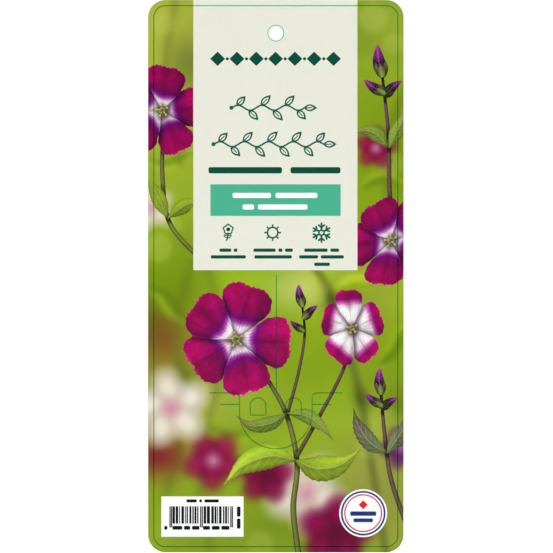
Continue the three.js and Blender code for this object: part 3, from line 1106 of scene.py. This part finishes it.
# boundary of the face, edge by edge, the sheet on its left
e_all = np.vstack([TRI[:, [0, 1]], TRI[:, [1, 2]], TRI[:, [2, 0]]])
key = e_all[:, 0] * nf + e_all[:, 1]
rev = e_all[:, 1] * nf + e_all[:, 0]
rim = e_all[~np.isin(key, rev)]
d = P[rim[:, 1]] - P[rim[:, 0]]
length = np.linalg.norm(d, axis=1)
normal = np.c_[d[:, 1], -d[:, 0]] / length[:, None]
acc = np.zeros((nf, 2))
cnt = np.zeros(nf, int)
first = np.zeros((nf, 2))
for k in (0, 1):
    np.add.at(acc, rim[:, k], normal)
    np.add.at(cnt, rim[:, k], 1)
assert set(cnt[cnt > 0]) == {2}, "the face's rim crosses itself"
first[rim[:, 0]] = normal
on_rim = np.flatnonzero(cnt)
unit = np.zeros((nf, 2))
unit[on_rim] = acc[on_rim] / np.linalg.norm(acc[on_rim], axis=1)[:, None]
reach = np.ones(nf)
reach[on_rim] = 1 / np.maximum(0.6, (unit[on_rim] * first[on_rim]).sum(1))
# outline and hole have the wider rounding
edge_r = np.full(nf, KERF_ROUND)
outer_rim = np.hypot(P[:, 0], P[:, 1]) < HOLE + EDGE_ROUND + 0.01
outer_rim |= (P[:, 0] < LEFT + 6) | (P[:, 0] > RIGHT - 6) | (P[:, 1] > TOP - 6) | (P[:, 1] < FOOT + 6)
edge_r[outer_rim] = EDGE_ROUND
rings = []
m = 3
for k in range(1, m + 1):
    t = k / m * PI / 2
    rings.append((np.sin(t), 1 - np.cos(t)))
nb = len(on_rim)
rim_index = np.full(nf, -1)
rim_index[on_rim] = np.arange(nb)
R = P[on_rim]
aim = unit[on_rim] * reach[on_rim][:, None]
round_r = edge_r[on_rim]
is_kerf = ~outer_rim[on_rim]
verts = [np.c_[P[:, 0], depth, P[:, 1]]]
ring_start = [None]
total = nf
levels = [(s, FACE, h, 1) for s, h in rings] + [(s, BACK, h, -1) for s, h in rings[::-1]] + [(0.0, BACK, 0.0, -1)]
for s, base, h, sign in levels:
    out = round_r * s
    if sign < 0:
        out = np.where(is_kerf, FACE_GAP / 2 - KERF_BACK / 2 - round_r * (1 - s), out)
    xz = R + aim * out[:, None]
    y = base + sign * h * round_r
    verts.append(np.c_[xz[:, 0], y, xz[:, 1]])
    ring_start.append(total)
    total += nb
ra, rb = rim_index[rim[:, 0]], rim_index[rim[:, 1]]
quads, quad_level = [], []
for k in range(len(levels)):
    ia = rim[:, 0] if k == 0 else ring_start[k] + ra
    ib = rim[:, 1] if k == 0 else ring_start[k] + rb
    ja, jb = ring_start[k + 1] + ra, ring_start[k + 1] + rb
    quads.append(np.c_[ib, ia, ja, jb])
    quad_level.append(np.full(len(rim), k))
quads, quad_level = np.vstack(quads), np.concatenate(quad_level)

# the back: the same rim, few points between
back_start = ring_start[-1]
bpts = R.tolist()
bedges = list(zip(ra.tolist(), rb.tolist()))
btree = kdtree.KDTree(nb)
for i, (x, z) in enumerate(bpts):
    btree.insert((x, z, 0.0), i)
btree.balance()
# rows of points along the painted shade of the cuts, score line and creases and along the edge of the panel's
# show-through, then a plain grid
rows = []
for path_ in cut_paths:
    path_ = fine(path_, 0.55, closed=False)
    for off in (0.13, 0.34):
        rows += offset_sides(path_, off)
for off in (-0.45, -0.16, 0.16, 0.45):
    rows.append(score_path(off))
for off in (-0.9, -0.25, 0.25, 0.9):
    frame_line = np.array([(px0 + off, TOP - 0.6), (px0 + off, pz0 + off), (px1 - off, pz0 + off), (px1 - off, TOP - 0.6)])
    rows.append(fine(frame_line, 1.2, closed=False))
creases_back = [np.array([(x0, TAB_BASE), (x1, TAB_BASE)]) for x0, x1 in creases]
for c_ in creases_back:
    for off in (-0.34, -0.13, 0.13, 0.34):
        rows.append(fine(c_ + (0, off), 0.55, closed=False))
rows = np.vstack(rows)
loose = np.vstack([rows, grid(LEFT, FOOT, RIGHT, TOP, 1.9, 8)])
loose = loose[inside([outline], loose[:, 0], loose[:, 1])]
extra, cell = [], {}
for i, (x, z) in enumerate(loose.tolist()):
    gap = 0.1 if i < len(rows) else 0.7
    if btree.find((x, z, 0.0))[2] < gap:
        continue
    ci, cj = int(x // 1.0), int(z // 1.0)
    around = [q for di in (-1, 0, 1) for dj in (-1, 0, 1) for q in cell.get((ci + di, cj + dj), ())]
    if any(math.hypot(x - q[0], z - q[1]) < gap for q in around):
        continue
    cell.setdefault((ci, cj), []).append((x, z))
    extra.append((x, z))
VB, EB, FB, OV, _, _ = delaunay_2d_cdt([Vector(p) for p in bpts + extra], bedges, [], 0, 1e-5, True)
BP = np.array([(v.x, v.y) for v in VB])
BT = np.array([tuple(f) for f in FB], int)
a, b, c = BP[BT[:, 0]], BP[BT[:, 1]], BP[BT[:, 2]]
area = (b[:, 0] - a[:, 0]) * (c[:, 1] - a[:, 1]) - (b[:, 1] - a[:, 1]) * (c[:, 0] - a[:, 0])
BT[area < 0] = BT[area < 0][:, ::-1]
bm = BP[BT].mean(1)
keep = inside([outline], bm[:, 0], bm[:, 1])
for cut_loop in cuts:
    lo2, hi2 = cut_loop.min(0), cut_loop.max(0)
    s = np.flatnonzero(keep & (bm >= lo2).all(1) & (bm <= hi2).all(1))
    if len(s):
        keep[s[inside([cut_loop], bm[s, 0], bm[s, 1])]] = False
BT = BT[keep]
to_mesh = np.full(len(BP), -1)
n_extra = 0
extra_xyz = []
in_use = set(np.unique(BT).tolist())
for i, src in enumerate(OV):
    mine = [s for s in src if s < nb]
    if mine:
        to_mesh[i] = back_start + mine[0]
    elif i in in_use:
        to_mesh[i] = total + n_extra
        extra_xyz.append((BP[i, 0], BACK, BP[i, 1]))
        n_extra += 1
BT = to_mesh[BT][:, ::-1]
if extra_xyz:
    verts.append(np.array(extra_xyz))
verts = np.vstack(verts) * MM

faces = TRI.tolist() + quads.tolist() + BT.tolist()
me = bpy.data.meshes.new("label_sheet_printed")
me.from_pydata(verts.tolist(), [], faces)
nq, nbk = len(quads), len(BT)
# the walls and face roundings of the die cuts take the painted-shade material; the outline and the hole take the print
# and the clouded edge
wall = np.where(outer_rim[rim[:, 0]], CUT_EDGE, CUT_WALL)
wrap = np.where(outer_rim[rim[:, 0]], PICTURE, CUT_WALL)
mats = np.concatenate([material, np.tile(wrap, m), np.tile(wall, len(levels) - m), np.full(nbk, PLAIN_BACK)]).astype(np.int32)

# corner data: colour of the print, detail coordinates, map
n_corner = nt * 3 + nq * 4 + nbk * 3
rgba = np.ones((n_corner, 4), np.float32)
rgba[: nt * 3, :3] = colour.reshape(-1, 3)
rgba[nt * 3 :, :3] = 0.86
# the print runs over the rounded edge of the face
tri_of = np.tile(np.arange(nt), 3)[~np.isin(key, rev)]
slot_a = np.repeat([0, 1, 2], nt)[~np.isin(key, rev)]
rim_a = colour[tri_of, slot_a]
rim_b = colour[tri_of, (slot_a + 1) % 3]
for k in range(m):
    base = nt * 3 + k * len(rim) * 4
    rgba[base : base + len(rim) * 4, :3] = np.stack([rim_b, rim_a, rim_a, rim_b], 1).reshape(-1, 3)
# below it the plastic is clouded white, tinted by the ink next to it
for k in range(m, len(levels)):
    base = nt * 3 + k * len(rim) * 4
    near_a, near_b = (0.55, 0.28) if k == m else (0.28 - 0.07 * (k - m - 1), 0.21 - 0.07 * (k - m - 1))
    white_ = np.array([0.40, 0.41, 0.385])
    rows_ = [white_ + (c_ - white_) * max(0.0, w_) for c_, w_ in ((rim_b, near_a), (rim_a, near_a), (rim_a, near_b), (rim_b, near_b))]
    rgba[base : base + len(rim) * 4, :3] = np.stack(rows_, 1).reshape(-1, 3)
# the sheet lets a trace of the print through to the back
bp = verts[BT.ravel()] / MM
ghost = to_linear(backdrop(bp[:, 0], bp[:, 2])) @ np.array([0.21, 0.72, 0.07])
bare = smooth(-1.6, 1.6, np.minimum(np.minimum(bp[:, 0] - px0, px1 - bp[:, 0]), bp[:, 2] - pz0))
for f in focus:
    if isinstance(f, Petal):
        near = np.hypot(bp[:, 0] - f.loop[:, 0].mean(), bp[:, 2] - f.loop[:, 1].mean())
        ghost *= 1 - 0.55 * smooth(0.46 * f.length + 2, 0.46 * f.length - 2, near)
ghost = ghost + (0.82 - ghost) * bare
show_through_and_cut_shade = 0.69 + 0.11 * ghost / 0.82


def away(paths, closed=False):
    """Distance of each corner of the back from the nearest of these lines."""
    d = np.full(len(bp), 1e9)
    for q in paths:
        b_ = np.roll(q, -1, axis=0) if closed else q[1:]
        for (ax, az), (bx_, bz_) in zip(q if closed else q[:-1], b_):
            ex, ez = bx_ - ax, bz_ - az
            near = np.flatnonzero((bp[:, 0] > min(ax, bx_) - 1) & (bp[:, 0] < max(ax, bx_) + 1) & (bp[:, 2] > min(az, bz_) - 1) & (bp[:, 2] < max(az, bz_) + 1))
            if len(near):
                w = np.clip(((bp[near, 0] - ax) * ex + (bp[near, 2] - az) * ez) / (ex * ex + ez * ez), 0, 1)
                d[near] = np.minimum(d[near], np.hypot(bp[near, 0] - ax - w * ex, bp[near, 2] - az - w * ez))
    return d


# painted shade: the back is darkened in thin lines along the cuts, the score line and the tab creases, as the shade in
# these recesses
show_through_and_cut_shade *= 1 - 0.42 * smooth(0.32, 0.14, away(cut_paths))
show_through_and_cut_shade *= 1 - 0.10 * smooth(0.42, 0.18, away([score_path(0)], True))
show_through_and_cut_shade *= 1 - 0.16 * smooth(0.32, 0.14, away(creases_back))
rgba[nt * 3 + nq * 4 :, :3] = show_through_and_cut_shade[:, None] * np.array([1.0, 1.0, 0.985])
vec = np.zeros((n_corner, 3), np.float32)
vec[: nt * 3] = detail.reshape(-1, 3)
uv = np.zeros((n_corner, 2), np.float32)
fx, fz = (corner[..., 0].ravel() - LEFT) / (RIGHT - LEFT), (corner[..., 1].ravel() - FOOT) / (TOP - FOOT)
uv[: nt * 3] = np.c_[0.003 + 0.862 * fx, 0.003 + 0.994 * fz]
bv = verts[BT.ravel()] / MM
bx, bz = (bv[:, 0] - LEFT) / (RIGHT - LEFT), (bv[:, 2] - FOOT) / (TOP - FOOT)
uv[nt * 3 + nq * 4 :] = np.c_[0.875 + 0.122 * bx, 0.065 + 0.932 * bz]
# the cut edge unrolls into a strip of its own
s0 = np.concatenate([[0], np.cumsum(length)])
s0 /= s0[-1]
q = len(rim)
for k in range(len(levels)):
    base = nt * 3 + k * q * 4
    ua, ub = 0.875 + 0.122 * s0[:-1], 0.875 + 0.122 * s0[1:]
    v0, v1 = 0.004 + 0.05 * k / len(levels), 0.004 + 0.05 * (k + 1) / len(levels)
    block_uv = np.stack([np.c_[ub, np.full(q, v0)], np.c_[ua, np.full(q, v0)], np.c_[ua, np.full(q, v1)], np.c_[ub, np.full(q, v1)]], 1)
    uv[base : base + q * 4] = block_uv.reshape(-1, 2)

me.polygons.foreach_set("material_index", mats)
attr = me.attributes.new("print", "FLOAT_COLOR", "CORNER")
attr.data.foreach_set("color", rgba.ravel())
attr = me.attributes.new("detail", "FLOAT_VECTOR", "CORNER")
attr.data.foreach_set("vector", vec.ravel())
layer = me.uv_layers.new(name="OFBake")
layer.data.foreach_set("uv", uv.ravel())
smooth_faces = np.zeros(len(faces), bool)
smooth_faces[nt : nt + nq] = True
me.polygons.foreach_set("use_smooth", smooth_faces)
me.update()
me.validate(clean_customdata=False)
sheet = bpy.data.objects.new("label_sheet_printed", me)
bpy.context.scene.collection.objects.link(sheet)
print("sheet", len(me.vertices), "vertices", sum(len(f) - 2 for f in faces), "triangles")


# ------------------------------------------------------------------- materials
class Nodes:
    def __init__(self, name):
        self.mat = bpy.data.materials.new(name)
        self.mat.use_nodes = True
        self.tree = self.mat.node_tree
        self.tree.nodes.clear()
        self.out = self.add("ShaderNodeOutputMaterial")
        self.bsdf = self.add("ShaderNodeBsdfPrincipled")
        self.link(self.bsdf.outputs[0], self.out.inputs["Surface"])

    def add(self, kind, **props):
        n = self.tree.nodes.new(kind)
        for k, v in props.items():
            setattr(n, k, v)
        return n

    def link(self, a, b):
        self.tree.links.new(a, b)

    def put(self, value, socket):
        if isinstance(value, (int, float)):
            socket.default_value = value
        else:
            self.link(value, socket)

    def math(self, op, a, b=0.0, c=0.0):
        n = self.add("ShaderNodeMath", operation=op)
        for v, s in zip((a, b, c), n.inputs):
            self.put(v, s)
        return n.outputs[0]

    def ramp_to(self, value, a0, a1, b0, b1, kind="SMOOTHSTEP"):
        n = self.add("ShaderNodeMapRange", interpolation_type=kind)
        self.put(value, n.inputs["Value"])
        for k, v in (("From Min", a0), ("From Max", a1), ("To Min", b0), ("To Max", b1)):
            n.inputs[k].default_value = v
        return n.outputs["Result"]

    def noise(self, scale, detail=2.0, rough=0.5, vector=None):
        n = self.add("ShaderNodeTexNoise")
        n.inputs["Scale"].default_value = scale
        n.inputs["Detail"].default_value = detail
        n.inputs["Roughness"].default_value = rough
        self.link(vector or self.place(), n.inputs["Vector"])
        return n.outputs["Fac"]

    def place(self):
        if not hasattr(self, "_place"):
            self._place = self.add("ShaderNodeTexCoord").outputs["Object"]
        return self._place

    def attr(self, name):
        n = self.add("ShaderNodeAttribute", attribute_name=name)
        return n

    def scale_colour(self, colour, factor):
        """colour times factor, channel by channel."""
        n = self.add("ShaderNodeVectorMath", operation="SCALE")
        self.link(colour, n.inputs[0])
        self.put(factor, n.inputs["Scale"])
        return n.outputs[0]

    def blend(self, fac, a, b):
        n = self.add("ShaderNodeMix", data_type="RGBA")
        self.put(fac, n.inputs["Factor"])
        for v, s in ((a, n.inputs[6]), (b, n.inputs[7])):
            if isinstance(v, tuple):
                s.default_value = (*v, 1)
            else:
                self.link(v, s)
        return n.outputs[2]


def finish_print(n, colour, rough=0.40, specular=0.30, grain=0.035):
    """Ink on plastic under a satin varnish: fine screen grain, faint mottling and an orange-peel skin."""
    fine_grain = n.noise(5200, 2.0, 0.6)
    mottle = n.noise(420, 3.0, 0.5)
    g = n.math("ADD", n.ramp_to(fine_grain, 0.25, 0.75, 1 - grain, 1 + grain, "LINEAR"), n.ramp_to(mottle, 0.3, 0.7, -0.008, 0.008, "LINEAR"))
    n.link(n.scale_colour(colour, g), n.bsdf.inputs["Base Color"])
    n.link(n.math("ADD", n.ramp_to(mottle, 0.25, 0.75, rough - 0.035, rough + 0.035, "LINEAR"), n.ramp_to(fine_grain, 0.3, 0.7, -0.015, 0.015, "LINEAR")), n.bsdf.inputs["Roughness"])
    n.bsdf.inputs["Specular IOR Level"].default_value = specular
    n.bsdf.inputs["IOR"].default_value = 1.5
    peel = n.noise(900, 2.0, 0.5)
    bump = n.add("ShaderNodeBump")
    bump.inputs["Strength"].default_value = 0.35
    bump.inputs["Distance"].default_value = 0.00002
    n.link(peel, bump.inputs["Height"])
    n.link(bump.outputs[0], n.bsdf.inputs["Normal"])


# picture, out of focus
pic = Nodes("print_picture")
finish_print(pic, pic.attr("print").outputs["Color"], 0.34, 0.12, 0.03)

# petals: veins that fan out from the throat and fork
pet = Nodes("print_petals")
det = pet.add("ShaderNodeSeparateXYZ")
pet.link(pet.attr("detail").outputs["Vector"], det.inputs[0])
u, fan, amount = det.outputs
wob = pet.ramp_to(pet.noise(330, 3.0, 0.55), 0.2, 0.8, -0.07, 0.07, "LINEAR")
angle = pet.math("ADD", fan, pet.math("MULTIPLY", wob, u))
main = pet.math("POWER", pet.math("ABSOLUTE", pet.math("COSINE", pet.math("MULTIPLY", angle, 15.0))), 9.0)
fork = pet.math("POWER", pet.math("ABSOLUTE", pet.math("COSINE", pet.math("MULTIPLY", angle, 30.0))), 7.0)
fork = pet.math("MULTIPLY", fork, pet.ramp_to(u, 0.42, 0.75, 0.0, 0.75))
veins = pet.math("MULTIPLY", pet.math("MAXIMUM", main, fork), amount)
veins = pet.math("MULTIPLY", veins, pet.ramp_to(pet.noise(900, 2.0), 0.3, 0.62, 0.35, 1.0, "LINEAR"))
base = pet.attr("print").outputs["Color"]
veined = pet.blend(pet.math("MULTIPLY", veins, 0.44), base, (0.105, 0.003, 0.085))
streak_at = pet.add("ShaderNodeCombineXYZ")
pet.link(pet.math("MULTIPLY", u, 5.0), streak_at.inputs[0])
pet.link(pet.math("MULTIPLY", angle, 34.0), streak_at.inputs[1])
streaks = pet.ramp_to(pet.noise(1.0, 2.0, 0.6, streak_at.outputs[0]), 0.25, 0.75, 0.89, 1.12, "LINEAR")
streaked = pet.scale_colour(veined, streaks)
velvet = pet.scale_colour(streaked, pet.ramp_to(pet.noise(2600, 2.0, 0.6), 0.25, 0.75, 0.92, 1.09, "LINEAR"))
finish_print(pet, velvet, 0.34, 0.12, 0.03)

# leaves, buds and stems: midrib, side veins and down
lf = Nodes("print_leaves")
det = lf.add("ShaderNodeSeparateXYZ")
lf.link(lf.attr("detail").outputs["Vector"], det.inputs[0])
u, v, amount = det.outputs
av = lf.math("ABSOLUTE", v)
wob = lf.ramp_to(lf.noise(500, 2.0), 0.2, 0.8, -0.05, 0.05, "LINEAR")
rib = lf.ramp_to(av, 0.035, 0.10, 1.0, 0.0)
side = lf.math("FRACT", lf.math("ADD", lf.math("SUBTRACT", lf.math("MULTIPLY", u, 8.0), lf.math("MULTIPLY", av, 1.5)), wob))
side = lf.ramp_to(lf.math("ABSOLUTE", lf.math("SUBTRACT", side, 0.5)), 0.03, 0.11, 0.55, 0.0)
side = lf.math("MULTIPLY", side, lf.ramp_to(av, 0.8, 1.0, 1.0, 0.0))
lines = lf.math("MULTIPLY", lf.math("MAXIMUM", rib, side), amount)
base = lf.attr("print").outputs["Color"]
lined = lf.blend(lf.math("MULTIPLY", lines, 0.30), base, (0.62, 0.70, 0.22))
downy = lf.scale_colour(lined, lf.ramp_to(lf.noise(2400, 3.0, 0.6), 0.25, 0.75, 0.88, 1.12, "LINEAR"))
finish_print(lf, downy, 0.34, 0.12, 0.03)

# flat spot inks and the pale panel
spot = Nodes("print_spot_inks")
finish_print(spot, spot.attr("print").outputs["Color"], 0.36, 0.12, 0.012)


def plastic(name, tint, rough):
    n = Nodes(name)
    speck = n.noise(1500, 3.0, 0.6)
    cloudy = n.noise(60, 2.0, 0.5)
    f = n.math("ADD", n.ramp_to(speck, 0.25, 0.75, 0.985, 1.01, "LINEAR"), n.ramp_to(cloudy, 0.3, 0.7, -0.012, 0.012, "LINEAR"))
    if tint:
        rgbn = n.add("ShaderNodeRGB")
        rgbn.outputs[0].default_value = (*tint, 1)
        source = rgbn.outputs[0]
    else:
        source = n.attr("print").outputs["Color"]
    n.link(n.scale_colour(source, f), n.bsdf.inputs["Base Color"])
    n.link(n.ramp_to(speck, 0.2, 0.8, rough - 0.06, rough + 0.06, "LINEAR"), n.bsdf.inputs["Roughness"])
    n.bsdf.inputs["Specular IOR Level"].default_value = 0.35
    bump = n.add("ShaderNodeBump")
    bump.inputs["Strength"].default_value = 0.5
    bump.inputs["Distance"].default_value = 0.00003
    n.link(speck, bump.inputs["Height"])
    n.link(bump.outputs[0], n.bsdf.inputs["Normal"])
    return n


back = plastic("plain_back", None, 0.50)
edge = plastic("cut_edge", None, 0.6)
# painted shade: the walls of the die cuts get a near-black green for the shade inside a closed cut, where the plastic
# itself is white
cut_wall_shade = plastic("cut_wall_painted_shade", (0.07, 0.11, 0.07), 0.7)
for n in (pic, pet, lf, spot, back, edge, cut_wall_shade):
    me.materials.append(n.mat)

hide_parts("label_sheet")
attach(sheet, "root")

# ------------------------------------------------------------- floor and light
fm = Nodes("pale_floor")
tone = fm.ramp_to(fm.noise(3, 2.0), 0.3, 0.7, 0.93, 0.95, "LINEAR")
comb = fm.add("ShaderNodeCombineColor")
for s in comb.inputs[:3]:
    fm.link(tone, s)
fm.link(comb.outputs[0], fm.bsdf.inputs["Base Color"])
fm.bsdf.inputs["Roughness"].default_value = 0.9
fm.bsdf.inputs["Specular IOR Level"].default_value = 0.0
fl = bpy.data.meshes.new("floor")
zf = (FOOT - 22) * MM
ring = [(2.6 * math.cos(k * PI / 32), 2.6 * math.sin(k * PI / 32), zf) for k in range(64)]
fl.from_pydata(ring, [], [tuple(range(64))])
floor = bpy.data.objects.new("floor", fl)
fl.materials.append(fm.mat)
bpy.context.scene.collection.objects.link(floor)

world = bpy.data.worlds.new("studio")
bpy.context.scene.world = world
world.use_nodes = True
wt = world.node_tree
wt.nodes.clear()
wout = wt.nodes.new("ShaderNodeOutputWorld")
wmix = wt.nodes.new("ShaderNodeMixShader")
path = wt.nodes.new("ShaderNodeLightPath")
plain = wt.nodes.new("ShaderNodeBackground")
plain.inputs["Color"].default_value = (1, 1, 1, 1)
plain.inputs["Strength"].default_value = 1.02
soft = wt.nodes.new("ShaderNodeBackground")
coord = wt.nodes.new("ShaderNodeTexCoord")
sep = wt.nodes.new("ShaderNodeSeparateXYZ")
wt.links.new(coord.outputs["Generated"], sep.inputs[0])
dim = wt.nodes.new("ShaderNodeMapRange")
dim.interpolation_type = "SMOOTHSTEP"
wt.links.new(sep.outputs["Y"], dim.inputs["Value"])
for k, v in (("From Min", -0.92), ("From Max", -0.60), ("To Min", 0.008), ("To Max", 0.675)):
    dim.inputs[k].default_value = v
rear = wt.nodes.new("ShaderNodeMapRange")
rear.interpolation_type = "SMOOTHSTEP"
wt.links.new(sep.outputs["Y"], rear.inputs["Value"])
for k, v in (("From Min", 0.0), ("From Max", 0.5), ("To Min", 1.0), ("To Max", 0.4)):
    rear.inputs[k].default_value = v
weak = wt.nodes.new("ShaderNodeMath")
weak.operation = "MULTIPLY"
wt.links.new(dim.outputs[0], weak.inputs[0])
wt.links.new(rear.outputs[0], weak.inputs[1])
sky = wt.nodes.new("ShaderNodeMapRange")
sky.interpolation_type = "SMOOTHSTEP"
wt.links.new(sep.outputs["Z"], sky.inputs["Value"])
for k, v in (("From Min", 0.5), ("From Max", 0.95), ("To Min", 0.0), ("To Max", 1.25)):
    sky.inputs[k].default_value = v
both = wt.nodes.new("ShaderNodeMath")
both.operation = "ADD"
wt.links.new(weak.outputs[0], both.inputs[0])
wt.links.new(sky.outputs[0], both.inputs[1])
wt.links.new(both.outputs[0], soft.inputs["Strength"])
soft.inputs["Color"].default_value = (1, 1, 1, 1)
wt.links.new(path.outputs["Is Camera Ray"], wmix.inputs[0])
wt.links.new(soft.outputs[0], wmix.inputs[1])
wt.links.new(plain.outputs[0], wmix.inputs[2])
wt.links.new(wmix.outputs[0], wout.inputs[0])


def softbox(name, place, aim, size, power):
    lamp = bpy.data.lights.new(name, "AREA")
    lamp.shape = "RECTANGLE"
    lamp.size, lamp.size_y = size
    lamp.energy = power
    ob = bpy.data.objects.new(name, lamp)
    ob.location = place
    ob.rotation_euler = (Vector(aim) - Vector(place)).to_track_quat("-Z", "Y").to_euler()
    ob.visible_camera = False
    bpy.context.scene.collection.objects.link(ob)


softbox("left_box", (-1.1, -0.75, 0.35), (0, 0, -0.1), (0.7, 1.1), 2.5)
softbox("right_box", (1.1, -0.75, 0.25), (0, 0, -0.1), (0.7, 1.1), 2.5)
softbox("top_box", (0, 0.1, 1.5), (0, 0, -0.1), (1.6, 1.6), 9)

# ---------------------------------------------------------------------- camera
cam = bpy.data.cameras.new("camera")
cam.lens, cam.sensor_width = 200.0, 36.0
cam.clip_start, cam.clip_end = 0.05, 30
camera = bpy.data.objects.new("camera", cam)
unit_mm = 0.4
dist = 553 * unit_mm * MM * cam.lens / cam.sensor_width
camera.location = ((276.5 - 275.815) * unit_mm * MM, FACE * MM - dist, (33.15 - 276.5) * unit_mm * MM)
camera.rotation_euler = (PI / 2, 0, 0)
bpy.context.scene.collection.objects.link(camera)
bpy.context.scene.camera = camera
vs = bpy.context.scene.view_settings
vs.view_transform = "Standard"
vs.look = "None"
vs.exposure = 0.0
vs.gamma = 1.0
